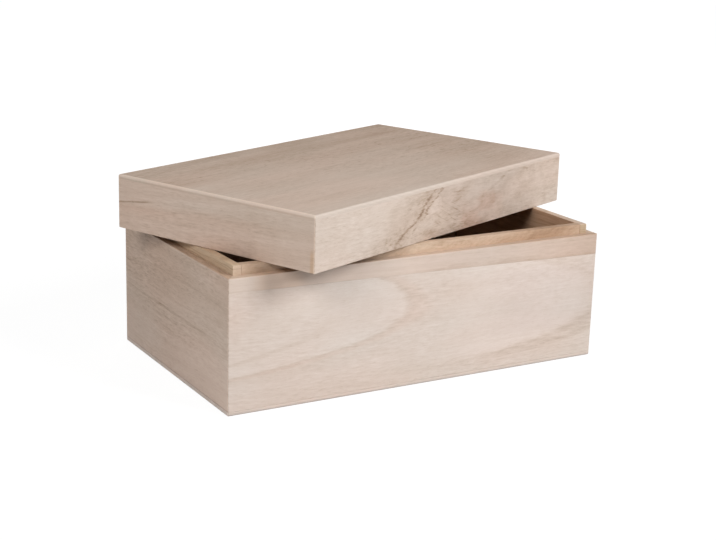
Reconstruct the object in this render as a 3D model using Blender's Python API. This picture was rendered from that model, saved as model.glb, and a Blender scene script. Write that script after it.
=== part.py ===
"""Wooden box with a lift-off lid that lies turned on the lip.

Frame: metres, Z up. The origin is the centre of the box's underside, X runs along the long
side and the front wall faces -Y. The lid lies flat on the lip, turned about a vertical line.
"""
import math

import bmesh
import bpy
from mathutils import Vector

# Box: outside sizes and boards
BOX_LENGTH = 0.3
BOX_DEPTH = 0.179
RIM_HEIGHT = 0.094
WALL_THICKNESS = 0.006
PANEL_THICKNESS = 0.003
BOX_ARRIS_RADIUS = 0.0012

# Front wall: the upper board is a little wider at its right end
UPPER_BOARD_LEFT_WIDTH = 0.0098
UPPER_BOARD_RIGHT_WIDTH = 0.0152

# Liner: boards inside the walls that stand proud of the rim as a lip
LINER_THICKNESS = 0.006
LIP_HEIGHT = 0.0067
LINER_EASED_EDGE = 0.0005

# Lid: same footprint as the box
LID_HEIGHT = 0.038
LID_FIT_CLEARANCE = 0.0006
LID_PANEL_THICKNESS = 0.003
LID_ARRIS_RADIUS = 0.0015

# How the lid lies on the lip
LID_TURN = math.radians(22.0)
LID_OFFSET_RIGHT = -0.0007
LID_OFFSET_BACK = 0.0152

# Gap between pieces that touch or are glued
JOINT_GAP = 0.0003

# Flat facets in a quarter of a rounded arris
ARRIS_STEPS = 4

QUARTER_TURN = math.pi / 2
FRONT, RIGHT, BACK, LEFT = range(4)

# Colours, as linear RGB
WALL_COLOUR = (0.62, 0.49, 0.39)
UPPER_BOARD_COLOUR = (0.58, 0.44, 0.35)
PANEL_COLOUR = (0.58, 0.46, 0.37)
LINER_COLOUR = (0.56, 0.36, 0.23)
WOOD_ROUGHNESS = 0.62


def clear_scene():
    """Starts from an empty scene."""
    for item in list(bpy.data.objects):
        bpy.data.objects.remove(item, do_unlink=True)


def part_collection():
    """Collection that holds every piece of the box."""
    group = bpy.data.collections.new("wooden_box_with_lid")
    bpy.context.scene.collection.children.link(group)
    return group


def wood(name, colour):
    """Bare, finely sanded wood."""
    material = bpy.data.materials.new(name)
    material.use_nodes = True
    shader = material.node_tree.nodes["Principled BSDF"]
    shader.inputs["Base Color"].default_value = (*colour, 1.0)
    shader.inputs["Roughness"].default_value = WOOD_ROUGHNESS
    shader.inputs["Metallic"].default_value = 0.0
    return material


def finish(name, shape, colour, group, carrier=None):
    """Turns a bmesh into a named piece with its own material."""
    bmesh.ops.recalc_face_normals(shape, faces=shape.faces)
    mesh = bpy.data.meshes.new(name)
    shape.to_mesh(mesh)
    shape.free()
    piece = bpy.data.objects.new(name, mesh)
    piece.data.materials.append(wood(name + "_wood", colour))
    group.objects.link(piece)
    piece.parent = carrier
    return piece


def level(height):
    """A level end of a board: the same height at every place."""
    return lambda place: height


def prism(outline, low, high):
    """Solid on a plan outline between two planes, each given as a height for a place."""
    shape = bmesh.new()
    floor = [shape.verts.new((x, y, low(Vector((x, y))))) for x, y in outline]
    cap = shape.faces.new(floor)
    grown = bmesh.ops.extrude_face_region(shape, geom=[cap])["geom"]
    for vertex in grown:
        if isinstance(vertex, bmesh.types.BMVert):
            vertex.co.z = high(vertex.co.xy)
    return shape


def mitred_outline(length, thickness, radius):
    """Plan of a wall board in its own axes: u along it, v inwards from its outer face.

    Both ends are mitred, and share a rounded outer arris with the next board.
    """
    half = length / 2
    seam = JOINT_GAP / 2
    start = math.pi / 4 - math.asin(seam / radius)
    arc = []
    for step in range(ARRIS_STEPS + 1):
        angle = start * (1 - step / ARRIS_STEPS)
        arc.append((radius - radius * math.sin(angle), radius - radius * math.cos(angle)))
    inner = thickness + seam * math.sqrt(2)
    left = [(-half + u, v) for u, v in arc]
    right = [(half - u, v) for u, v in reversed(arc)]
    return left + right + [(half - inner, thickness), (-half + inner, thickness)]


def placed(outline, side, length, depth):
    """Moves a board's plan to its side of a rectangle of the given length and depth."""
    reach = depth / 2 if side in (FRONT, BACK) else length / 2
    turn = side * QUARTER_TURN
    cos, sin = math.cos(turn), math.sin(turn)
    return [(u * cos - (v - reach) * sin, u * sin + (v - reach) * cos) for u, v in outline]


def wall(side, thickness, radius, low, high):
    """Mitred board on one side of the box's or the lid's footprint."""
    run = BOX_LENGTH if side in (FRONT, BACK) else BOX_DEPTH
    outline = mitred_outline(run, thickness, radius)
    return prism(placed(outline, side, BOX_LENGTH, BOX_DEPTH), low, high)


def block(size, centre):
    """Plain block of a size about a centre."""
    shape = bmesh.new()
    bmesh.ops.create_cube(shape, size=1.0)
    bmesh.ops.scale(shape, vec=size, verts=shape.verts)
    bmesh.ops.translate(shape, vec=centre, verts=shape.verts)
    return shape


def round_edges(shape, radius, steps, chosen):
    """Rounds the edges of a shape that a test picks by their middle and direction."""
    edges = []
    for edge in shape.edges:
        start, end = (vertex.co for vertex in edge.verts)
        if chosen((start + end) / 2, (end - start).normalized()):
            edges.append(edge)
    bmesh.ops.bevel(shape, geom=edges, offset=radius, segments=steps, profile=0.5, affect="EDGES")


def panel(thickness, centre_height, radius, outer_side):
    """Flat board with the footprint of the box, rounded but for its glued face.

    outer_side is 1 where the rounded face looks up and -1 where it looks down.
    """
    shape = block((BOX_LENGTH, BOX_DEPTH, thickness), (0, 0, centre_height))

    def open_edge(middle, way):
        return abs(way.z) > 0.5 or (middle.z - centre_height) * outer_side > 0

    round_edges(shape, radius, ARRIS_STEPS * 2, open_edge)
    return shape


def bottom_panel(group):
    """Thin board glued under the walls."""
    shape = panel(PANEL_THICKNESS, PANEL_THICKNESS / 2, BOX_ARRIS_RADIUS, -1)
    return finish("bottom_panel", shape, PANEL_COLOUR, group)


def glue_line(shift):
    """Height of the front wall's glue line at a place, moved by a shift."""
    slope = (UPPER_BOARD_LEFT_WIDTH - UPPER_BOARD_RIGHT_WIDTH) / BOX_LENGTH
    middle = RIM_HEIGHT - (UPPER_BOARD_LEFT_WIDTH + UPPER_BOARD_RIGHT_WIDTH) / 2
    return lambda place: middle + slope * place.x + shift


def box_walls(group):
    """Outer walls; the front one is two boards glued edge to edge."""
    foot = level(PANEL_THICKNESS + JOINT_GAP)
    rim = level(RIM_HEIGHT)
    boards = [
        ("front_lower_board", FRONT, foot, glue_line(-JOINT_GAP / 2), WALL_COLOUR),
        ("front_upper_board", FRONT, glue_line(JOINT_GAP / 2), rim, UPPER_BOARD_COLOUR),
        ("back_wall", BACK, foot, rim, WALL_COLOUR),
        ("left_end_wall", LEFT, foot, rim, WALL_COLOUR),
        ("right_end_wall", RIGHT, foot, rim, WALL_COLOUR),
    ]
    for name, side, low, high, colour in boards:
        finish(name, wall(side, WALL_THICKNESS, BOX_ARRIS_RADIUS, low, high), colour, group)


def liner(name, size_x, size_y, centre_x, centre_y, group):
    """Liner board on the bottom panel, with the top edges along its length eased."""
    foot = PANEL_THICKNESS + JOINT_GAP
    top = RIM_HEIGHT + LIP_HEIGHT
    middle_height = (top + foot) / 2
    shape = block((size_x, size_y, top - foot), (centre_x, centre_y, middle_height))
    along_x = size_x > size_y

    def top_edge(middle, way):
        return middle.z > middle_height and abs(way.x if along_x else way.y) > 0.5

    round_edges(shape, LINER_EASED_EDGE, ARRIS_STEPS // 2, top_edge)
    return finish(name, shape, LINER_COLOUR, group)


def box_liners(group):
    """End liners run the full depth; the long liners fit between them."""
    inset = WALL_THICKNESS + JOINT_GAP
    hollow_length = BOX_LENGTH - 2 * inset
    hollow_depth = BOX_DEPTH - 2 * inset
    end_x = (hollow_length - LINER_THICKNESS) / 2
    long_y = (hollow_depth - LINER_THICKNESS) / 2
    between = hollow_length - 2 * (LINER_THICKNESS + JOINT_GAP)
    liner("left_liner", LINER_THICKNESS, hollow_depth, -end_x, 0, group)
    liner("right_liner", LINER_THICKNESS, hollow_depth, end_x, 0, group)
    liner("front_liner", between, LINER_THICKNESS, 0, -long_y, group)
    liner("back_liner", between, LINER_THICKNESS, 0, long_y, group)


def lid_carrier(group):
    """Empty at the middle of the lid's lower rim, on the line that the lid lifts along."""
    carrier = bpy.data.objects.new("lid_carrier", None)
    rest = RIM_HEIGHT + LIP_HEIGHT + JOINT_GAP
    carrier.location = (LID_OFFSET_RIGHT, LID_OFFSET_BACK, rest)
    carrier.rotation_euler = (0, 0, LID_TURN)
    group.objects.link(carrier)
    return carrier


def lid(group):
    """Lift-off lid: four walls that pass round the lip, and a panel on top."""
    carrier = lid_carrier(group)
    thickness = WALL_THICKNESS + JOINT_GAP - LID_FIT_CLEARANCE
    underside = LID_HEIGHT - LID_PANEL_THICKNESS
    foot = level(0)
    head = level(underside - JOINT_GAP)
    sides = {"front": FRONT, "back": BACK, "left": LEFT, "right": RIGHT}
    for word, side in sides.items():
        shape = wall(side, thickness, LID_ARRIS_RADIUS, foot, head)
        finish("lid_" + word + "_wall", shape, WALL_COLOUR, group, carrier)
    top = panel(LID_PANEL_THICKNESS, underside + LID_PANEL_THICKNESS / 2, LID_ARRIS_RADIUS, 1)
    finish("lid_top_panel", top, PANEL_COLOUR, group, carrier)


def main():
    """Builds the box and its lid."""
    clear_scene()
    group = part_collection()
    bottom_panel(group)
    box_walls(group)
    box_liners(group)
    lid(group)
    bpy.context.view_layer.update()


main()
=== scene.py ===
"""Looks of a bare-wood keepsake box whose lid lies turned across the raised lip.

Lengths are metres in the shared frame, and millimetres inside the wood materials.
"""
import math

import bmesh
import bpy
from mathutils import Matrix, Vector


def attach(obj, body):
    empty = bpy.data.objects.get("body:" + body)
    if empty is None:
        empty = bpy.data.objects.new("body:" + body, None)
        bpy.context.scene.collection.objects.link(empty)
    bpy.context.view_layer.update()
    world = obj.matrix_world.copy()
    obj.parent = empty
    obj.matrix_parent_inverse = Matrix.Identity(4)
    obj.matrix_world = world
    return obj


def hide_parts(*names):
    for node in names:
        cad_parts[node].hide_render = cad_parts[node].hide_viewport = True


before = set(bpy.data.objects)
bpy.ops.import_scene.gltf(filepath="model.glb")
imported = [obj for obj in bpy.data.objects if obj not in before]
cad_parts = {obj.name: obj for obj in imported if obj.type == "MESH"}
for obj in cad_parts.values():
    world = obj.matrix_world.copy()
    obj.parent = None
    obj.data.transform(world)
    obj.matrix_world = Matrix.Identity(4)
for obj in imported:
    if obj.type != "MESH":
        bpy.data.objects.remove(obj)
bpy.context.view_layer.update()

# Sizes that the solids have
BOX_LENGTH = 0.3
BOX_DEPTH = 0.179
RIM = 0.094
WALL = 0.006
PANEL = 0.003
LIP_TOP = 0.1007
LINER = 0.006
LID_HEIGHT = 0.038
LID_WALL = 0.0057
BOX_ARRIS = 0.0012
LID_ARRIS = 0.0015
GLUE_DROP = (0.0098, 0.0152)

# Where the lid lies. It is a hair smaller than its solid, so that rounding keeps it inside the solid's box
LID_SHIFT = (-0.0007, 0.0152, 0.101)
LID_TURN = math.radians(22)
LID_SHRINK = 0.99999
LID_PLACE = Matrix.Translation(LID_SHIFT) @ Matrix.Rotation(LID_TURN, 4, "Z") @ Matrix.Scale(LID_SHRINK, 4)
BOX_PLACE = Matrix.Identity(4)
BOX = (BOX_PLACE, "box")
LID = (LID_PLACE, "lid")

# Seams in the looks: glued boards meet more tightly than the solids do
SEAM = 0.00006

# Eased edges, which the solids leave sharp
GLUED_EASE = 0.00006
HEAD_EASE = 0.0004
FOOT_EASE = 0.00022
LINER_EASE = 0.0004
LID_HEAD_EASE = 0.00015
LID_FOOT_EASE = 0.0004

# Rounded forms: how many steps they have, and the profile that makes a bevel a circle's arc
CORNER_STEPS = 9
HEAD_STEPS = 3
FOOT_STEPS = 2
LINER_STEPS = 4
PANEL_STEPS = 12
ROUND = 0.5

# Tests on edges and faces: angles between faces, a height, and parts of a direction of length 1
SHARP_TURN = math.radians(60)
SMOOTH_TURN = math.radians(35)
SAME_LEVEL = 0.00001
MITRE_SLACK = 0.02
UPRIGHT = 0.5
END_ON = 0.8

MM = 1000.0
FRONT, RIGHT, BACK, LEFT, TOP = range(5)


# Geometry

def mitred_outline(length, thickness, radius):
    """Plan of a mitred board: u along it, v inwards from its outer face."""
    half = length / 2
    start = math.pi / 4 - math.asin(SEAM / 2 / radius)
    arc = []
    for index in range(CORNER_STEPS + 1):
        angle = start * (1 - index / CORNER_STEPS)
        arc.append((radius - radius * math.sin(angle), radius - radius * math.cos(angle)))
    inner = thickness + SEAM * math.sqrt(0.5)
    left = [(-half + u, v) for u, v in arc]
    right = [(half - u, v) for u, v in reversed(arc)]
    return left + right + [(half - inner, thickness), (-half + inner, thickness)]


def turned(outline, side):
    """Moves a board's plan to its side of the footprint."""
    reach = BOX_DEPTH / 2 if side in (FRONT, BACK) else BOX_LENGTH / 2
    angle = side * math.pi / 2
    cos, sin = math.cos(angle), math.sin(angle)
    return [(u * cos - (v - reach) * sin, u * sin + (v - reach) * cos) for u, v in outline]


def flat(height):
    """Level plane, as a function of x."""
    def plane(x):
        return height
    return plane


def glue_line(shift):
    """Slanting plane of the front wall's glue line, as a function of x."""
    left, right = GLUE_DROP

    def plane(x):
        return RIM - (left + right) / 2 + (left - right) / BOX_LENGTH * x + shift
    return plane


def prism(outline, low, high):
    """Solid on a plan outline between two planes."""
    shape = bmesh.new()
    cap = shape.faces.new([shape.verts.new((x, y, low(x))) for x, y in outline])
    grown = bmesh.ops.extrude_face_region(shape, geom=[cap])["geom"]
    for vertex in (item for item in grown if isinstance(item, bmesh.types.BMVert)):
        vertex.co.z = high(vertex.co.x)
    bmesh.ops.recalc_face_normals(shape, faces=shape.faces)
    return shape


def block(low, high):
    """Plain block between two corners."""
    shape = bmesh.new()
    bmesh.ops.create_cube(shape, size=1.0)
    low, high = Vector(low), Vector(high)
    bmesh.ops.scale(shape, vec=high - low, verts=shape.verts)
    bmesh.ops.translate(shape, vec=(high + low) / 2, verts=shape.verts)
    return shape


def ease(shape, radius, steps, chosen):
    """Rounds the edges that pass a test of their middle, their direction and the edge itself."""
    edges = []
    for edge in shape.edges:
        a, b = (vertex.co for vertex in edge.verts)
        if chosen((a + b) / 2, (b - a).normalized(), edge):
            edges.append(edge)
    bmesh.ops.bevel(shape, geom=edges, offset=radius, segments=steps, profile=ROUND, affect="EDGES")


def is_sharp(edge):
    """True for an edge where two faces meet at a clear angle."""
    return len(edge.link_faces) == 2 and edge.calc_face_angle(0) > SHARP_TURN


def add_piece(name, shape, grain, owner, material):
    """Makes a piece of a shape in its owner's frame. grain is the axis along which its fibres run."""
    place, body = owner
    mesh = bpy.data.meshes.new(name)
    bmesh.ops.recalc_face_normals(shape, faces=shape.faces)
    shape.to_mesh(mesh)
    shape.free()
    # What the wood material reads: the place on the board, and which faces are sawn ends
    spot = mesh.attributes.new("place", "FLOAT_VECTOR", "POINT")
    spot.data.foreach_set("vector", [v * MM for vertex in mesh.vertices for v in vertex.co])
    end = mesh.attributes.new("end_grain", "FLOAT", "FACE")
    end.data.foreach_set("value", [float(abs(face.normal[grain]) > END_ON) for face in mesh.polygons])
    mesh.transform(place)
    for face in mesh.polygons:
        face.use_smooth = True
    mesh.set_sharp_from_angle(angle=SMOOTH_TURN)
    piece = bpy.data.objects.new(name, mesh)
    bpy.context.scene.collection.objects.link(piece)
    normals = piece.modifiers.new("even_shading", "WEIGHTED_NORMAL")
    normals.keep_sharp = True
    mesh.materials.append(material)
    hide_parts(name)
    name + "_wood"
    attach(piece, body)


# Node graphs

class Number:
    """A number in a node graph. Plain arithmetic with it adds the nodes that work out the result."""

    def __init__(self, graph, socket):
        self.graph = graph
        self.socket = socket

    def __add__(self, other):
        return self.graph.calc("ADD", self, other)

    def __sub__(self, other):
        return self.graph.calc("SUBTRACT", self, other)

    def __rsub__(self, other):
        return self.graph.calc("SUBTRACT", other, self)

    def __mul__(self, other):
        return self.graph.calc("MULTIPLY", self, other)

    def __pow__(self, other):
        return self.graph.calc("POWER", self, other)

    def __abs__(self):
        return self.graph.calc("ABSOLUTE", self)

    __radd__ = __add__
    __rmul__ = __mul__


class Graph:
    """Short calls for building a tree of nodes."""

    def __init__(self, tree):
        self.tree = tree

    def node(self, kind):
        """A new node of a kind."""
        return self.tree.nodes.new(kind)

    def put(self, socket, value):
        """Links a number or a socket to a socket, or sets its value."""
        if isinstance(value, Number):
            value = value.socket
        if isinstance(value, bpy.types.NodeSocket):
            self.tree.links.new(value, socket)
        else:
            socket.default_value = value

    def calc(self, operation, *values, clamp=False):
        """One step of arithmetic."""
        node = self.node("ShaderNodeMath")
        node.operation = operation
        node.use_clamp = clamp
        for socket, value in zip(node.inputs, values):
            self.put(socket, value)
        return Number(self, node.outputs[0])

    def attribute(self, name, kind):
        """Reads a mesh attribute."""
        node = self.node("ShaderNodeAttribute")
        node.attribute_name = name
        return node.outputs[kind]

    def split(self, vector):
        """The three numbers of a vector."""
        node = self.node("ShaderNodeSeparateXYZ")
        self.put(node.inputs[0], vector)
        return [Number(self, output) for output in node.outputs]

    def join(self, *values):
        """A vector of three numbers."""
        node = self.node("ShaderNodeCombineXYZ")
        for socket, value in zip(node.inputs, values):
            self.put(socket, value)
        return node.outputs[0]

    def ramp(self, value, stops, reach):
        """Colour along a list of (value, colour), for values from 0 to reach."""
        node = self.node("ShaderNodeValToRGB")
        self.put(node.inputs[0], value * (1.0 / reach))
        ramp = node.color_ramp
        ramp.interpolation = "LINEAR"
        while len(ramp.elements) < len(stops):
            ramp.elements.new(1.0)
        for element, (at, colour) in zip(ramp.elements, stops):
            element.position = at / reach
            element.color = (*colour, 1.0)
        return node.outputs[0]

    def times(self, a, b):
        """Product of two colours."""
        node = self.node("ShaderNodeVectorMath")
        node.operation = "MULTIPLY"
        self.put(node.inputs[0], a)
        self.put(node.inputs[1], b)
        return node.outputs[0]

    def scale(self, colour, factor):
        """Colour times a number."""
        node = self.node("ShaderNodeVectorMath")
        node.operation = "SCALE"
        self.put(node.inputs[0], colour)
        self.put(node.inputs["Scale"], factor)
        return node.outputs[0]

    def tinted(self, colour, mask, factor):
        """Colour that is multiplied by a factor where the mask is 1."""
        node = self.node("ShaderNodeMix")
        node.data_type = "RGBA"
        share, plain, full = node.inputs[0], node.inputs[6], node.inputs[7]
        self.put(share, mask)
        self.put(plain, grey(1.0))
        self.put(full, (*factor, 1.0))
        return self.times(colour, node.outputs[2])


def least(a, b):
    """Smaller of two numbers."""
    return a.graph.calc("MINIMUM", a, b)


def most(a, b):
    """Larger of two numbers."""
    return a.graph.calc("MAXIMUM", a, b)


def step(value, low, high, out_low=0.0, out_high=1.0):
    """Smooth step between two values."""
    graph = value.graph
    node = graph.node("ShaderNodeMapRange")
    node.interpolation_type = "SMOOTHSTEP"
    for socket, number in zip(node.inputs, (value, low, high, out_low, out_high)):
        graph.put(socket, number)
    return Number(graph, node.outputs[0])


def fall(value, low, high):
    """Smooth step down, from 1 to 0 between two values."""
    return step(value, low, high, 1.0, 0.0)


def band(value, low, high, soft):
    """Mask that is 1 between two values and fades outside them."""
    return step(value, low - soft, low) * fall(value, high, high + soft)


def near(value, full, gone, height=1.0):
    """Mask that is highest where the value is nearly zero, and fades on both sides."""
    return step(abs(value), full, gone, height, 0.0)


def noise(x, y, z, detail=2.0, rough=0.5):
    """Smooth noise about 0.5, one cell wide per unit."""
    graph = x.graph
    node = graph.node("ShaderNodeTexNoise")
    node.noise_dimensions = "3D"
    graph.put(node.inputs["Vector"], graph.join(x, y, z))
    node.inputs["Scale"].default_value = 1.0
    node.inputs["Detail"].default_value = detail
    node.inputs["Roughness"].default_value = rough
    return Number(graph, node.outputs[0])


def ripple(x, y, z, detail=2.0, rough=0.5):
    """Smooth noise about zero."""
    return noise(x, y, z, detail, rough) - 0.5


def curve(value, points, reach):
    """Height of the line through a few (value, height) points, for values from 0 to reach."""
    stops = [(at, (height, height, height)) for at, height in points]
    return Number(value.graph, value.graph.ramp(value, stops, reach))


def dashes(u, v, seed, low, high):
    """Broken marks along the grain, as where a line crosses the fibres."""
    return step(noise(u * 0.07 + seed, v * 0.36 + seed, 0.5, 2, 0.6), low, high)


def grey(value):
    """Opaque grey."""
    return (value, value, value, 1.0)


def linear(red, green, blue):
    """Linear colour of an 8-bit display colour."""
    out = []
    for value in (red, green, blue):
        value /= 255
        out.append(value / 12.92 if value <= 0.04045 else ((value + 0.055) / 1.055) ** 2.4)
    return tuple(out)


# Wood

# Display colours along the tone: 0 is pale wood, 1 a dark line
PALETTE = (
    (0.00, (229, 216, 207)),
    (0.25, (222, 207, 197)),
    (0.50, (214, 197, 185)),
    (0.75, (202, 183, 169)),
    (1.00, (183, 161, 144)),
    (1.30, (148, 123, 104)),
)
PALETTE_REACH = 1.3

# Layers of noise, from slow drifts down to single fibres: cells per millimetre along and across the
# fibres, detail, roughness and shift
LAYERS = {
    "blotch": (0.016, 0.028, 2, 0.5, 0.0),
    "broad": (0.005, 0.055, 2, 0.5, 0.0),
    "streak": (0.014, 0.33, 3, 0.55, 0.0),
    "hatch": (0.11, 0.6, 2, 0.6, 0.0),
    "thread": (0.15, 1.3, 2, 0.6, 3.0),
    "fine": (0.25, 4.2, 2, 0.6, 0.0),
    "fuzz": (0.7, 0.9, 2, 0.7, 0.0),
}
# Noise for where the hatching is strong, and for the pores
PATCHES = (0.012, 0.022, 1, 0.5, 7.0)
PORES = (0.2, 1.7, 1, 0.5, 5.0)
# Millimetres in the noise between boards whose seeds differ by 1, along and across
APART = (37.0, 11.0)

# How much each layer adds to the tone, the roughness and the height of the bump
SLOW = {"broad": 0.28, "streak": 0.32, "blotch": 0.28}
QUICK = {"hatch": 0.8, "thread": 0.42, "fine": 0.3, "pores": 0.2, "fuzz": 0.2}
ROUGH = {"streak": 0.12, "fuzz": 0.1}
RAISED = {"fine": 0.7, "thread": 0.5, "hatch": 0.4, "pores": -0.8, "fuzz": 0.35, "streak": 0.6}

ROUGHNESS = 0.66
SPECULAR = 0.3
BUMP_STRENGTH = 0.5
BUMP_HEIGHT = 0.00016

# Change of red, green and blue from a greyer to a pinker wood
PINKER = (0.022, -0.012, -0.022)
# How much of the tone's variety a calm stretch loses
CALM = 0.75
# Millimetres from a mitre at which its glue is whole and gone
GLUE_WIDTH = (0.08, 0.5)
# Millimetres from an outer edge at which the worn, highlit band is whole and gone, and what it changes
WORN_AND_HIGHLIT_WIDTH = (0.3, 1.6)
WORN_AND_HIGHLIT_RAGGED = 1.4
RUBBED_ROUGHNESS = -0.08
# Paler edges: partly wear, partly a painted highlight on the rounded arris
WORN_AND_HIGHLIT_PALING = 0.03


class Board:
    """Coordinates of one board in millimetres: along the grain, across its face, and into it."""

    def __init__(self, graph, side, top):
        self.graph = graph
        x, y, z = graph.split(graph.attribute("place", "Vector"))
        half_x, half_y = BOX_LENGTH / 2 * MM, BOX_DEPTH / 2 * MM
        ways = {
            FRONT: ((x, 1, half_x), (z, -1, top), (y, 1, half_y)),
            BACK: ((x, -1, half_x), (z, -1, top), (y, -1, half_y)),
            LEFT: ((y, -1, half_y), (z, -1, top), (x, 1, half_x)),
            RIGHT: ((y, 1, half_y), (z, -1, top), (x, -1, half_x)),
            TOP: ((x, 1, half_x), (y, -1, half_y), (z, -1, top)),
        }[side]
        self.along, self.across, self.depth = (value * sign + start for value, sign, start in ways)
        self.z = z
        # Distances to the outer faces, for the arrises and the mitres
        self.to_end = half_x - abs(x)
        self.to_side = half_y - abs(y)
        self.to_top = abs(top - z)

    def end_grain(self):
        """1 on the board's sawn ends."""
        return Number(self.graph, self.graph.attribute("end_grain", "Fac"))


def layered(board, seed, bend):
    """Layers of one board, about zero apart from the pores, with fibres that follow bend and waver."""
    u, v, w = board.along + seed * APART[0], bend + seed * APART[1], board.depth
    v = v + 5.0 * ripple(u * 0.012, v * 0.03, w * 0.03, 1)

    def field(along, across, detail, rough, shift):
        return noise(u * along, v * across + shift, w * across, detail, rough)

    layers = {name: field(*numbers) - 0.5 for name, numbers in LAYERS.items()}
    layers["hatch"] = layers["hatch"] * step(field(*PATCHES), 0.36, 0.64, 0.45, 1.35)
    layers["pores"] = step(field(*PORES), 0.58, 0.70)
    return layers


def blended(start, layers, weights, strength=1.0):
    """A number plus the named layers, each times its weight."""
    for name, weight in weights.items():
        start = start + layers[name] * (weight * strength)
    return start


def mitre_glue(board, seed):
    """Glue that darkens the mitres in broken marks."""
    line = near((board.to_end - board.to_side) * math.sqrt(0.5), *GLUE_WIDTH)
    return line * step(noise(board.z * 0.23, seed, 0.0, 2, 0.6), 0.42, 0.7, 0.06, 0.6)


def worn_and_highlit_arris(board, layers):
    """Mask of wood within a millimetre or two of an outer edge: smoother from wear, paler partly from
    wear, partly as a painted highlight.
    """
    nearer, farther = least(board.to_end, board.to_side), most(board.to_end, board.to_side)
    distance = most(nearer, least(farther, board.to_top)) + layers["hatch"] * WORN_AND_HIGHLIT_RAGGED
    return fall(distance, *WORN_AND_HIGHLIT_WIDTH)


def wood(name, side, top, figure, tint, seed, texture=1.0, slow=None, mitred=True, pink=0.0, end=0.3,
         marks=(), calm=None):
    """Bare wood for one board, with its face towards side.

    top is the level from which heights count down, in millimetres. figure gives its tone, the
    across coordinate that its fibres follow, and an extra pinkness. tint is a colour factor for
    the whole board. texture scales the quick layers, and slow replaces weights of the slow ones.
    end is what sawn ends add to the tone. marks are pairs of a mask and the colour factor that it
    lays over the wood, and calm is a mask where the tone is even.
    """
    material = bpy.data.materials.new(name)
    material.use_nodes = True
    graph = Graph(material.node_tree)
    board = Board(graph, side, top)
    tone, bend, pinkness = figure(board)
    layers = layered(board, seed, bend)
    tone = blended(tone, layers, {**SLOW, **(slow or {})})
    tone = blended(tone, layers, QUICK, texture)
    if end:
        tone = tone + board.end_grain() * end
    if calm:
        tone = 0.5 + (tone - 0.5) * (1.0 - CALM * calm(board))
    if mitred:
        tone = tone + mitre_glue(board, seed)

    stops = [(at, tuple(v * t for v, t in zip(linear(*colour), tint))) for at, colour in PALETTE]
    colour = graph.ramp(most(tone, 0.0), stops, PALETTE_REACH)
    hue = noise(board.along * 0.011 + seed, board.across * 0.03, 3.3, 1)
    hue = step(hue, 0.3, 0.7, -0.5, 0.5) + pink + pinkness
    colour = graph.times(colour, graph.join(*(hue * change + 1.0 for change in PINKER)))
    worn_highlit_edge = worn_and_highlit_arris(board, layers)
    # Paler edges: partly wear, partly a painted highlight
    colour = graph.scale(colour, worn_highlit_edge * WORN_AND_HIGHLIT_PALING + 1.0)
    for mask, factor in marks:
        colour = graph.tinted(colour, mask(board), factor)

    shader = graph.tree.nodes["Principled BSDF"]
    graph.put(shader.inputs["Base Color"], colour)
    rough = blended(ROUGHNESS + worn_highlit_edge * RUBBED_ROUGHNESS, layers, ROUGH)
    graph.put(shader.inputs["Roughness"], rough)
    shader.inputs["Specular IOR Level"].default_value = SPECULAR
    bump = graph.node("ShaderNodeBump")
    bump.inputs["Strength"].default_value = BUMP_STRENGTH * texture
    bump.inputs["Distance"].default_value = BUMP_HEIGHT
    graph.put(bump.inputs["Height"], blended(0.0, layers, RAISED))
    graph.put(shader.inputs["Normal"], bump.outputs[0])
    return material


# Masks for the marks. Places on the board are in millimetres

def head(board):
    """Upper face of a box wall, darkened as painted shade on the narrow ledge beside the liner."""
    return fall(board.to_top, 0.12, 0.42)


def foot(board):
    """The last millimetre above the bottom panel's seam."""
    return fall(board.z, 3.3, 4.3)


def left_part(board):
    """Yellower wood at the left of the front."""
    return fall(board.along, 45, 95) * fall(board.across, 58, 76)


def right_part(board):
    """Slightly darker wood at the right of the front, inside the large arch."""
    return step(board.along, 180, 244) * band(board.across, 26, 62, 12)


def rosy_stretch(board):
    """Pinker colour near the left of the front's upper board: partly the wood's own pink, partly a painted
    warm tint of the lid's shadow there.
    """
    return band(board.along, 26, 48, 12)


def dusky_stretch(board):
    """Slightly darker wood in the middle of the front's upper board."""
    return band(board.along, 156, 222, 22)


def near_outline(board):
    """Outermost millimetre of a panel."""
    return fall(least(board.to_end, board.to_side), 0.9, 1.9)


def long_edge(board):
    """Panel's arris along its front and back."""
    return near_outline(board) * board.graph.calc("LESS_THAN", board.to_side, board.to_end)


def short_edge(board):
    """Panel's arris at its two ends."""
    return near_outline(board) * board.graph.calc("GREATER_THAN", board.to_side, board.to_end)


def upper_end_highlight(board):
    """Upper arris of the lid's panel at its two ends, lightened as a painted highlight."""
    return short_edge(board) * fall(board.to_top, 1.3, 2.3)


def shaded_foot_arris(board):
    """Lower arris of the bottom panel's long edges, darkened as painted shade where it turns under."""
    return long_edge(board) * fall(board.z, 0.9, 1.8)


def inner_face(board):
    """Face of a liner towards the box's inside."""
    return step(board.depth, 11.7, 12.0)


def left_stretch(board):
    """Browner wood at the left of the front liner."""
    return fall(board.along, 22, 50)


def brown_stretch(board):
    """Browner wood towards the right end of the front liner."""
    slanted = board.along + 1.5 * board.across
    return step(slanted, 214, 234) * step(slanted, 278, 296, 1.0, 0.6)


def brown_core(board):
    """Darkest part of the front liner's brown stretch."""
    return band(board.along + 1.2 * board.across, 254, 272, 9)


def end_face(board):
    """Sawn end of a board."""
    return board.end_grain()


def rosy_patch(board):
    """Two pinker patches low on the lid's front."""
    wavy = ripple(board.along * 0.09, board.across * 0.25, 7.0)
    u = board.along + 14.0 * wavy
    v = board.across + 9.0 * wavy
    upper = band(u, 189, 205, 5) * band(v, 17, 26, 5)
    lower = band(u, 169, 185, 6) * step(v, 22, 30)
    return most(upper, lower)


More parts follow.
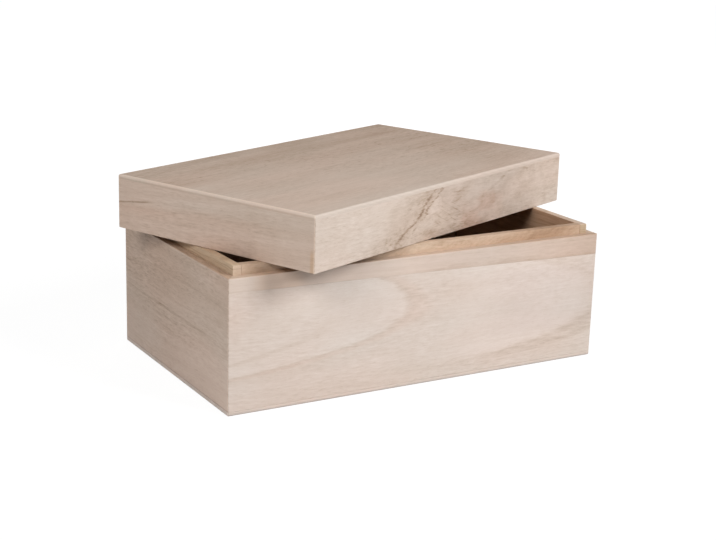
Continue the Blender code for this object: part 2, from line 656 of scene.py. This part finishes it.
def grey_middle(board):
    """Greyer, darker wood in the middle of the lid's front."""
    slant = 1.5 * board.across - 10.0
    start = step(board.along - slant, 117, 138)
    stop = fall(board.along + slant, 228, 248)
    return start * stop * step(board.across, 22, 34, 1.0, 0.5)


def corner_stain(board):
    """Tan stain beside the lid's near corner."""
    return band(board.along, 175.8, 177.4, 1.0) * step(board.across, 21, 27)


# Figures. Each returns the tone, the across coordinate that the fibres follow, and an extra pinkness.
# u runs along the board and v across it, in millimetres. A noise's third coordinate picks its pattern

def straight(base, slope=0.0, seed=0.0, waves=0.0):
    """Plain grain of a base tone, with an even slope and long waves."""
    def figure(board):
        u, v = board.along, board.across
        bend = v + slope * u
        if waves:
            bend = bend + waves * ripple(u * 0.02, v * 0.012, seed + 1.7, 1)
        return base + 0.5 * ripple(u * 0.003, bend * 0.16, seed, 1), bend, 0.0
    return figure


def upper_strip(board):
    """Pinker strip, darker towards the right end, with grain along its glued edge."""
    u, v = board.along, board.across
    left, right = (drop * MM for drop in GLUE_DROP)
    bend = v - 0.018 * u
    tone = 0.44 + 0.4 * ripple(u * 0.006, bend * 0.3, 1.0)
    tone = tone + step(u, 130, 290, 0.0, 0.24) + step(u, 262, 298, 0.0, 0.14)
    above_glue = left + (right - left) / (BOX_LENGTH * MM) * u - v
    streaky = band(above_glue, 0.6, 3.6, 0.8) * band(u, 165, 235, 18)
    tone = tone + 0.2 * streaky * dashes(u, v, 2.0, 0.38, 0.66)
    tone = tone + step(above_glue, 0.2, 2.6, 0.1, 0.0)
    return tone, bend, step(u, 235, 275, 0.0, 0.9)


# Tones along the front's small and large arches, inside out
SMALL_ARCHES = (
    (0, 0.38), (40, 0.35), (64, 0.31), (72, 0.34), (80, 0.36), (86, 0.33), (96, 0.31), (124, 0.28),
    (132, 0.31), (138, 0.58), (142, 0.60), (150, 0.49), (168, 0.44), (200, 0.42), (214, 0.36), (250, 0.42),
)
LARGE_ARCH = (
    (0, 0.42), (160, 0.40), (190, 0.31), (240, 0.28), (286, 0.29), (296, 0.38), (303, 0.53), (308, 0.48),
    (316, 0.44), (322, 0.48), (330, 0.42), (400, 0.42),
)
ARCHES_REACH = 400.0


def arches(board):
    """Three cathedral arches pointing right, as on the front's wide board."""
    u, v = board.along, board.across
    bend = v + 0.012 * u + 7.0 * board.graph.calc("EXPONENT", u * (-1 / 60))
    swing = ripple(u * 0.03, v * 0.05, 8.1)
    frayed = ripple(u * 0.06, bend * 0.6, 2.2, 3, 0.62)

    # How far right the arch through each point has its tip. Arches are a little wider below their axis
    axis = 25.0 + 0.06 * u
    below = board.graph.calc("GREATER_THAN", v, axis)
    off = abs(v - axis)
    shifted = u + 16.0 * swing + 14.0 * frayed
    small = shifted + (0.031 - 0.0025 * below) * off ** 2.25
    large = shifted + (0.0035 - 0.00228 * below) * off ** 3.0
    inside = curve(small, SMALL_ARCHES, ARCHES_REACH)
    outside = curve(large, LARGE_ARCH, ARCHES_REACH)
    border = u + 60.0 * swing + step(v, 20, 45, -22.0, 0.0)
    tone = inside + step(border, 142, 200) * (outside - inside)
    tone = tone + 0.2 * ripple(small * 0.13, 0.0, 4.0)

    # Brown broken streaks under the large arch's lower right side
    under = band(large, 299, 332, 9) * step(u, 190, 220) * step(v, 55, 64)
    tone = tone + 0.19 * under * dashes(u, v, 6.0, 0.34, 0.66)
    # Lower leg of the smallest arch, and darker wood along the foot
    tone = tone + 0.13 * band(small, 78, 83, 6) * step(v, 40, 48)
    tone = tone + step(v, 62, 84, 0.0, 0.05)
    blush = step(small, 134, 142) * fall(small, 146, 160)
    return tone, bend, 0.7 * blush


# Dark lines of the lid's front, as places along it for the millimetres below its upper edge
MAIN_STREAK = (
    (0, 134), (4.5, 129.5), (7.8, 124.5), (10, 122), (12.5, 118.5), (17.5, 115.5), (20, 113),
    (22, 110), (23.7, 107), (25.3, 102), (27.4, 97), (29, 93.5), (32, 90), (38, 84),
)
SECOND_STREAK_APART = ((0, 9), (6, 9), (10, 9), (13, 7), (15.5, 5.5), (19, 7), (25, 11), (38, 12))
GREY_BORDER = ((0, 236), (5, 224), (9, 213), (13, 203), (18, 190), (38, 150))
LID_FRONT_DEPTH = 38.0

# Tones from the board's left end to its right: sapwood, the brown zone that ends at the main streak,
# which lies at 130, pale wood behind it, and greyer wood to the right
LID_FRONT_TONES = (
    (0, 0.42), (70, 0.44), (94, 0.5), (108, 0.62), (124, 0.7), (130, 0.68), (139, 0.62), (150, 0.54),
    (162, 0.62), (176, 0.68), (190, 0.62), (212, 0.62), (220, 0.56), (250, 0.56), (300, 0.52),
)
MAIN_STREAK_AT = 130.0
LID_FRONT_REACH = 300.0


def crossing(board):
    """Pale sapwood on the left, then dark broken streaks that cross the board, as on the lid's front."""
    u, v = board.along, board.across
    shift = 5.0 * ripple(u * 0.05, v * 0.09, 5.5) + 8.5 * ripple(u * 0.09, v * 0.7, 2.2, 2, 0.65)
    off = u + shift - curve(v, MAIN_STREAK, LID_FRONT_DEPTH)
    tone = curve(off + MAIN_STREAK_AT, LID_FRONT_TONES, LID_FRONT_REACH)

    # Main streak: broken in its upper part, whole in the middle, fainter at the foot, in a soft smudge
    marks = dashes(u, v, 1.0, 0.38, 0.6)
    whole = step(v, 16, 26, 0.42, 0.08)
    first = near(off, 0.2, 2.6) * ((1.0 - whole) * marks + whole) * step(v, 31, 36, 1.0, 0.3)
    tone = tone + 0.38 * first + 0.12 * near(off, 0.8, 4.6) * band(v, 20, 32, 4)
    flecks = step(noise(u * 0.27, v * 0.42, 6.0, 2, 0.6), 0.5, 0.66)
    tone = tone + 0.17 * flecks * band(off, -15, 22, 9) * step(v, 4, 14)

    # Second streak beside it, a small knot, and darker wood around and before both
    apart = curve(v, SECOND_STREAK_APART, LID_FRONT_DEPTH)
    second = near(off - apart, 0.3, 2.4) * dashes(u, v, 4.0, 0.35, 0.54) * fall(v, 26, 34)
    knot = band(u, 137, 140, 1.6) * band(v, 4, 5, 1.4)
    tone = tone + 0.4 * most(second, 0.6 * knot)
    tone = tone + near(off - 4.0, 3, 10, height=0.09)
    tone = tone + band(off, -34, -3, 12) * step(v, 6, 24, 0.16, 0.04)

    # Wisps, a spot and slanting flecks behind the streaks
    wisps = band(u, 146, 164, 7) * band(v, 9, 16, 5) * dashes(u, v, 8.0, 0.48, 0.66)
    spot = band(u + shift, 155, 162, 3.5) * band(v, 11, 16, 3)
    slanting_flecks = step(noise(u * 0.05, (v - 0.5 * u) * 0.5, 2.0, 2, 0.6), 0.5, 0.64)
    tone = tone + 0.3 * wisps + 0.28 * spot * (0.4 + 0.6 * marks)
    tone = tone + 0.2 * slanting_flecks * band(u, 136, 158, 8) * band(v, 18, 29, 5)

    # Broken edge of the grey wood, blotches, and darker wood low in the middle
    past_border = u + 1.6 * shift - curve(v, GREY_BORDER, LID_FRONT_DEPTH)
    tone = tone + 0.26 * band(past_border, -1, 2, 4) * fall(v, 14, 22) * marks
    tone = tone + step(past_border, -2, 10, 0.0, 0.09)
    tone = tone + step(u, 60, 120, 0.12, 0.75) * ripple(u * 0.08, v * 0.14, 9.0, 2, 0.6)
    tone = tone + step(v, 28, 36, 0.0, 0.18) * band(u, 118, 190, 14)

    bend = v - 0.03 * u + step(u, 40, 160, 0.0, 6.0)
    pinkish = band(u, 168, 212, 12) * step(v, 14, 22)
    return tone, bend, 1.2 * pinkish


def slanting(board):
    """Grey wood over pinker wood with a slanted border and one short dark streak, as on the lid's left."""
    u, v = board.along, board.across
    bend = v + 0.06 * u
    swing = ripple(u * 0.02, bend * 0.1, 6.5)
    lower = step(v + 0.05 * u + 8.0 * swing, 18, 23)
    tone = 0.40 + 0.5 * ripple(u * 0.004, bend * 0.3, 7.0) + 0.1 * lower
    streak_at = 19.4 - 0.129 * u
    off = v - streak_at + 1.6 * swing
    streak = near(off, 0.1, 0.9, height=0.45) + near(off, 0.2, 2.2, height=0.2)
    tone = tone + streak * fall(u, 24, 40)
    return tone, bend, lower * step(u, 100, 150, 1.3, 0.5) - 0.5


# Long thin lines on the left end wall: place across, start and end along, strength
END_WALL_LINES = (
    (20.5, 62, 165, 0.16), (29, 0, 60, 0.1), (47.5, 12, 138, 0.22), (55, 36, 100, 0.14),
    (63, 60, 120, 0.1), (72, 66, 92, 0.14),
)


def end_wall(board):
    """Even grey-brown wood with a few long thin darker lines, paler towards the foot."""
    u, v = board.along, board.across
    bend = v + 0.03 * u + 9.0 * ripple(u * 0.018, v * 0.02, 3.1)
    tone = 0.62 + 0.45 * ripple(u * 0.003, bend * 0.17, 5.0)
    tone = tone + step(v, 20, 92, 0.0, -0.42) + step(u, 60, 175, 0.06, -0.12)
    frayed_v = v + 4.0 * ripple(u * 0.04, v * 0.5, 1.3, 2, 0.6)
    for middle, start, end, strength in END_WALL_LINES:
        tone = tone + near(frayed_v - middle, 0.3, 1.7, height=strength) * band(u, start, end, 14)
    return tone, bend, step(v, 40, 80, -0.2, 0.3)


def cover_figure(board):
    """Quiet wood with short dark flecks, darker behind a slanted border and, as painted light, towards the
    right end.
    """
    u, v = board.along, board.across
    bend = v + 0.02 * u
    tone = 0.60 + 0.3 * ripple(u * 0.012, bend * 0.075, 3.0)
    border = v + 0.06 * u + 36.0 * ripple(u * 0.012, v * 0.02, 8.0)
    tone = tone + step(border, 46, 66, 0.19, 0.0) * step(u, 140, 250, 1.0, 0.4)
    tone = tone + step(u, 200, 260, 0.0, 0.1) * band(v, 92, 150, 16)
    # Painted light: darker towards the right end and the back, palest at the near left
    tone = tone + step(u, 60, 290, 0.0, 0.16) + step(v, 60, 170, 0.05, -0.06)
    flecks = step(noise(u * 0.13, v * 0.3, 4.0, 2, 0.6), 0.56, 0.7)
    zone = band(v, 45, 115, 20) * step(u, 30, 90, 0.4, 1.0)
    return tone + flecks * (0.05 + 0.15 * zone), bend, 0.0


def swirled(base):
    """Warm wood with wavy slanting bands and a browner stretch near its right end, as on the liner."""
    def figure(board):
        u, v = board.along, board.across
        swing = ripple(u * 0.02, v * 0.05, 5.5)
        slanted = u + 2.4 * v + 40.0 * swing
        tone = base + 0.34 * ripple(slanted * 0.11, v * 0.02, 1.0, 2, 0.6)
        tone = tone + 0.6 * ripple((u + 0.8 * v) * 0.3, v * 0.42, 7.0, 2, 0.65)
        tone = tone + 0.13 * band(u, 166, 214, 16) + step(u, 10, 20, -0.25, 0.0)
        tone = tone + 0.2 * step(u + 1.2 * v, 226, 256) * step(u, 272, 292, 1.0, 0.25)
        return tone, v + 10.0 * swing, 0.0
    return figure


def side_liner(board):
    """Olive liner wood with darker streak lines along what shows above the wall."""
    u, v = board.along, board.across
    bend = v + 0.012 * u + 5.0 * ripple(u * 0.03, v * 0.1, 4.4)
    lines = step(noise(u * 0.012, bend * 0.62, 2.0, 2, 0.6), 0.46, 0.64)
    return 0.42 + 0.34 * lines, bend, -0.3


# Boards

def wall_board(name, side, section, levels, eases, owner, material):
    """Mitred wall board with eased long edges.

    section is its thickness and its corners' radius, levels are the planes of its foot and its
    head, and eases are the radii of the edges there.
    """
    across = side in (FRONT, BACK)
    length = BOX_LENGTH if across else BOX_DEPTH
    low, high = levels
    shape = prism(turned(mitred_outline(length, *section), side), low, high)

    def eased_at(plane):
        """Test for the board's sharp edges in a plane, apart from those across its mitres."""
        def chosen(middle, way, edge):
            mitre = abs(abs(way.x) - abs(way.y)) < MITRE_SLACK
            level = abs(way.z) < UPRIGHT and abs(middle.z - plane(middle.x)) < SAME_LEVEL
            return level and is_sharp(edge) and not mitre
        return chosen

    foot_ease, head_ease = eases
    ease(shape, head_ease, HEAD_STEPS, eased_at(high))
    ease(shape, foot_ease, FOOT_STEPS, eased_at(low))
    add_piece(name, shape, 0 if across else 1, owner, material)


def panel_board(name, low, high, rounded, radius, owner, material):
    """Flat board from low to high. Its upright edges and those at the level rounded get the radius."""
    half_x, half_y = BOX_LENGTH / 2, BOX_DEPTH / 2
    shape = block((-half_x, -half_y, low), (half_x, half_y, high))

    def chosen(middle, way, edge):
        return abs(way.z) > UPRIGHT or abs(middle.z - rounded) < SAME_LEVEL

    ease(shape, radius, PANEL_STEPS, chosen)
    add_piece(name, shape, 0, owner, material)


def liner_board(name, low, high, material):
    """Straight liner board between two corners of the plan, with eased upper and upright edges."""
    shape = block((*low, PANEL + SEAM), (*high, LIP_TOP))

    def chosen(middle, way, edge):
        return abs(way.z) > UPRIGHT or abs(middle.z - LIP_TOP) < SAME_LEVEL

    ease(shape, LINER_EASE, LINER_STEPS, chosen)
    lengthwise = high[0] - low[0] > high[1] - low[1]
    add_piece(name, shape, 0 if lengthwise else 1, BOX, material)


def box_walls():
    """Walls of the box. The front is two boards, glued along a slightly slanting line."""
    top = RIM * MM
    section = (WALL, BOX_ARRIS)
    foot_level, rim_level = flat(PANEL + SEAM), flat(RIM)
    # Painted shade on the walls' upper faces, deepest on the left end wall under the lid
    light_head_shade = ((head, (0.93, 0.86, 0.78)), (foot, (0.96, 0.95, 0.95)))
    deep_head_shade = ((head, (0.86, 0.79, 0.71)), (foot, (0.76, 0.74, 0.73)))

    lower = wood("front_lower_wood", FRONT, top, arches, (0.985, 1.0, 1.005), seed=1, texture=0.68,
                 marks=((left_part, (0.99, 0.965, 0.95)), (right_part, (0.95, 0.94, 0.945))))
    wall_board("front_lower_board", FRONT, section, (foot_level, glue_line(-SEAM / 2)),
               (FOOT_EASE, GLUED_EASE), BOX, lower)

    # The upper board's upper face carries the same painted shade
    upper = wood("front_upper_wood", FRONT, top, upper_strip, (0.97, 0.965, 0.95), seed=2,
                 texture=0.36, slow={"streak": 0.2, "broad": 0.24}, pink=0.5,
                 marks=((head, (0.93, 0.86, 0.78)), (rosy_stretch, (1.05, 1.0, 0.95)),
                        (dusky_stretch, (0.945, 0.945, 0.945))))
    wall_board("front_upper_board", FRONT, section, (glue_line(SEAM / 2), rim_level),
               (GLUED_EASE, HEAD_EASE), BOX, upper)

    back = wood("back_wall_wood", BACK, top, straight(0.5, slope=0.02, seed=3.0, waves=14.0),
                (1.0, 0.98, 0.95), seed=3, marks=light_head_shade)
    left = wood("left_end_wood", LEFT, top, end_wall, (1.04, 0.965, 0.895),
                seed=4, texture=1.12, marks=deep_head_shade)
    right = wood("right_end_wood", RIGHT, top, straight(0.5, slope=0.015, seed=8.0, waves=8.0),
                 (1.0, 0.97, 0.93), seed=5, marks=light_head_shade)
    for name, side, material in (
        ("back_wall", BACK, back), ("left_end_wall", LEFT, left), ("right_end_wall", RIGHT, right),
    ):
        wall_board(name, side, section, (foot_level, rim_level), (FOOT_EASE, HEAD_EASE), BOX, material)


def bottom_panel():
    """Thin board under the walls."""
    # Painted light lightens the panel's shaded end edges, and painted shade darkens the lower arris of its
    # long edges
    material = wood("bottom_panel_wood", TOP, PANEL * MM, straight(0.45, slope=0.01, seed=2.0),
                    (1.0, 0.99, 0.98), seed=6, mitred=False, end=0.0, calm=near_outline,
                    marks=((long_edge, (1.0, 1.02, 1.04)), (short_edge, (1.2, 1.22, 1.26)),
                           (shaded_foot_arris, (0.8, 0.81, 0.83))))
    panel_board("bottom_panel", 0, PANEL, 0, BOX_ARRIS, BOX, material)


def liners():
    """Inner boards that form the lip: two full-length ones at the ends, and two between them."""
    x0, y0 = BOX_LENGTH / 2 - WALL - SEAM, BOX_DEPTH / 2 - WALL - SEAM
    x1, y1 = x0 - LINER, y0 - LINER
    between = x1 - SEAM
    warm, olive, tan = (0.96, 0.87, 0.75), (1.01, 0.89, 0.7), (0.96, 0.88, 0.78)
    pale_end = ((end_face, (0.94, 0.95, 1.03)),)
    # Painted shade darkens the right liner's inner face deep in the box, and its sawn end is darkened too
    inner_shade_and_dark_end = ((inner_face, (0.82, 0.655, 0.54)), (end_face, (0.76, 0.73, 0.63)))
    brown_stretches = ((brown_stretch, (0.86, 0.8, 0.75)), (brown_core, (0.92, 0.89, 0.86)),
                       (left_stretch, (0.95, 0.91, 0.88)))
    # The back liner's inner face is cooled as a painted tint of the dark shade inside the box
    cooled_inner_shade = ((inner_face, (0.98, 1.05, 1.14)),)
    for name, side, low, high, seed, figure, tint, marks in (
        ("left_liner", LEFT, (-x0, -y0), (-x1, y0), 11, side_liner, olive, pale_end),
        ("right_liner", RIGHT, (x1, -y0), (x0, y0), 12, side_liner, tan, inner_shade_and_dark_end),
        ("front_liner", FRONT, (-between, -y0), (between, -y1), 13, swirled(0.58), warm, brown_stretches),
        ("back_liner", BACK, (-between, y1), (between, y0), 14, swirled(0.6), warm, cooled_inner_shade),
    ):
        material = wood(name + "_wood", side, LIP_TOP * MM, figure, tint, seed, texture=0.45,
                        mitred=False, end=-0.12, marks=marks)
        liner_board(name, low, high, material)


def lid():
    """Four mitred walls and the panel on top of them."""
    top = LID_HEIGHT * MM
    under = LID_HEIGHT - PANEL
    plain = (1.0, 0.97, 0.93)
    front = wood("lid_front_wood", FRONT, top, crossing, (1.0, 0.99, 0.97), seed=21, texture=0.8,
                 marks=((rosy_patch, (1.0, 0.95, 0.93)), (grey_middle, (0.91, 0.905, 0.905))))
    right = wood("lid_right_wood", RIGHT, top, straight(0.55, slope=0.02, seed=9.0, waves=8.0), plain,
                 seed=22)
    back = wood("lid_back_wood", BACK, top, straight(0.55, slope=-0.01, seed=4.0, waves=9.0), plain,
                seed=23)
    left = wood("lid_left_wood", LEFT, top, slanting, (1.08, 1.0, 0.93), seed=24, texture=0.82,
                marks=((corner_stain, (0.98, 0.9, 0.78)),))
    for name, side, material in (
        ("lid_front_wall", FRONT, front), ("lid_right_wall", RIGHT, right),
        ("lid_back_wall", BACK, back), ("lid_left_wall", LEFT, left),
    ):
        wall_board(name, side, (LID_WALL, LID_ARRIS), (flat(0.0), flat(under - SEAM)),
                   (LID_FOOT_EASE, LID_HEAD_EASE), LID, material)
    # The panel's upper arris at its ends carries a painted highlight
    cover = wood("lid_top_wood", TOP, top, cover_figure, (0.92, 0.88, 0.835), seed=25, texture=0.6,
                 slow={"broad": 0.3, "streak": 0.3}, mitred=False, end=0.0, calm=near_outline,
                 marks=((long_edge, (1.1, 1.16, 1.22)), (short_edge, (1.15, 1.14, 1.12)),
                        (upper_end_highlight, (1.2, 1.24, 1.29))))
    panel_board("lid_top_panel", under, LID_HEIGHT, LID_HEIGHT, LID_ARRIS, LID, cover)


# Camera, floor, backdrop and lamps

# Camera that was fitted to the photograph: its width and focal length in pixels, its angles in degrees,
# and its place along its own right, up and back directions in metres
PHOTO_WIDTH = 716
FOCAL_PIXELS = 1474.325
CAMERA_AZIMUTH = -30.4536
CAMERA_ELEVATION = 15.3881
CAMERA_ROLL = 1.6739
CAMERA_RIGHT = 0.0003796
CAMERA_UP = 0.0583051
CAMERA_BACK = 1.1140596
# Sensor's width in millimetres, and the nearest and farthest that is seen in metres
SENSOR = 36
NEAREST = 0.05
FARTHEST = 50

# Floor: the grey that throws light onto the object, and the grey and the glow that make it look white.
# The glow rises between two distances from the middle
FLOOR_REACH = 6
BOUNCE_GREY = 0.68
PAPER_GREY = 0.15
GLOW = (0.92, 1.0)
GLOW_RISES = (0.3, 1.2)

# Light of the backdrop, and what the lamps aim at, from how far
AMBIENT = 0.02
LAMP_TARGET = Vector((0, 0, 0.07))
LAMP_DISTANCE = 1.6


def towards(azimuth, elevation):
    """Direction from the object, where azimuth 0 is in front of it. Both angles are in degrees."""
    a, e = math.radians(azimuth), math.radians(elevation)
    return Vector((math.sin(a) * math.cos(e), -math.cos(a) * math.cos(e), math.sin(e)))


def add_camera():
    """Camera of the photograph."""
    azimuth, roll = math.radians(CAMERA_AZIMUTH), math.radians(CAMERA_ROLL)
    back = towards(CAMERA_AZIMUTH, CAMERA_ELEVATION)
    level = Vector((math.cos(azimuth), math.sin(azimuth), 0))
    upright = back.cross(level)
    right = math.cos(roll) * level + math.sin(roll) * upright
    up = math.cos(roll) * upright - math.sin(roll) * level
    data = bpy.data.cameras.new("camera")
    data.sensor_width = SENSOR
    data.sensor_fit = "HORIZONTAL"
    data.lens = FOCAL_PIXELS / PHOTO_WIDTH * SENSOR
    data.clip_start = NEAREST
    data.clip_end = FARTHEST
    item = bpy.data.objects.new("camera", data)
    item.matrix_world = Matrix((right, up, back)).transposed().to_4x4()
    item.location = right * CAMERA_RIGHT + up * CAMERA_UP + back * CAMERA_BACK
    bpy.context.scene.collection.objects.link(item)
    bpy.context.scene.camera = item


def seen_share(graph):
    """1 for what the camera sees directly, in a reflection or through glass, and 0 for lighting."""
    ray = graph.node("ShaderNodeLightPath").outputs
    direct = graph.calc("ADD", ray["Is Camera Ray"], ray["Is Glossy Ray"])
    return graph.calc("ADD", direct, ray["Is Transmission Ray"], clamp=True)


def floor_paper():
    """White paper that keeps the object's shadow."""
    material = bpy.data.materials.new("floor_paper")
    material.use_nodes = True
    graph = Graph(material.node_tree)
    nodes = graph.tree.nodes
    nodes.remove(nodes["Principled BSDF"])
    lit = graph.node("ShaderNodeBsdfDiffuse")
    lit.inputs[0].default_value = grey(BOUNCE_GREY)
    paper = graph.node("ShaderNodeBsdfDiffuse")
    paper.inputs[0].default_value = grey(PAPER_GREY)
    glow = graph.node("ShaderNodeEmission")
    glow.inputs[0].default_value = grey(1)
    x, y = graph.split(graph.node("ShaderNodeNewGeometry").outputs["Position"])[:2]
    far = graph.calc("SQRT", x * x + y * y)
    graph.put(glow.inputs[1], step(far, *GLOW_RISES, *GLOW))
    seen = graph.node("ShaderNodeAddShader")
    graph.put(seen.inputs[0], paper.outputs[0])
    graph.put(seen.inputs[1], glow.outputs[0])
    pick = graph.node("ShaderNodeMixShader")
    graph.put(pick.inputs[0], seen_share(graph))
    graph.put(pick.inputs[1], lit.outputs[0])
    graph.put(pick.inputs[2], seen.outputs[0])
    graph.put(nodes["Material Output"].inputs[0], pick.outputs[0])
    return material


def add_floor():
    """Large flat floor."""
    mesh = bpy.data.meshes.new("floor")
    shape = bmesh.new()
    bmesh.ops.create_grid(shape, x_segments=1, y_segments=1, size=FLOOR_REACH)
    shape.to_mesh(mesh)
    shape.free()
    floor = bpy.data.objects.new("floor", mesh)
    mesh.materials.append(floor_paper())
    bpy.context.scene.collection.objects.link(floor)


def add_backdrop():
    """World that looks white and gives only a little light of its own."""
    world = bpy.data.worlds.new("studio")
    bpy.context.scene.world = world
    world.use_nodes = True
    graph = Graph(world.node_tree)
    background = graph.tree.nodes["Background"]
    background.inputs[0].default_value = grey(1)
    graph.put(background.inputs[1], AMBIENT + (1.0 - AMBIENT) * seen_share(graph))


def add_lamp(name, azimuth, elevation, size, power, sheen=True):
    """Soft rectangular lamp aimed at the box."""
    data = bpy.data.lights.new(name, "AREA")
    data.shape = "RECTANGLE"
    data.size, data.size_y = size
    data.energy = power
    item = bpy.data.objects.new(name, data)
    item.visible_glossy = sheen
    back = towards(azimuth, elevation)
    item.location = LAMP_TARGET + back * LAMP_DISTANCE
    item.rotation_mode = "QUATERNION"
    item.rotation_quaternion = (-back).to_track_quat("-Z", "Y")
    bpy.context.scene.collection.objects.link(item)


box_walls()
bottom_panel()
liners()
lid()
add_floor()
add_backdrop()
add_lamp("left_softbox", azimuth=-54, elevation=33.5, size=(0.7, 0.5), power=10.7)
add_lamp("right_softbox", azimuth=29, elevation=33, size=(0.55, 0.66), power=18.6)
add_lamp("back_softbox", azimuth=168, elevation=24, size=(1.2, 0.7), power=9.5, sheen=False)
add_camera()

bpy.context.scene.view_settings.view_transform = "Standard"
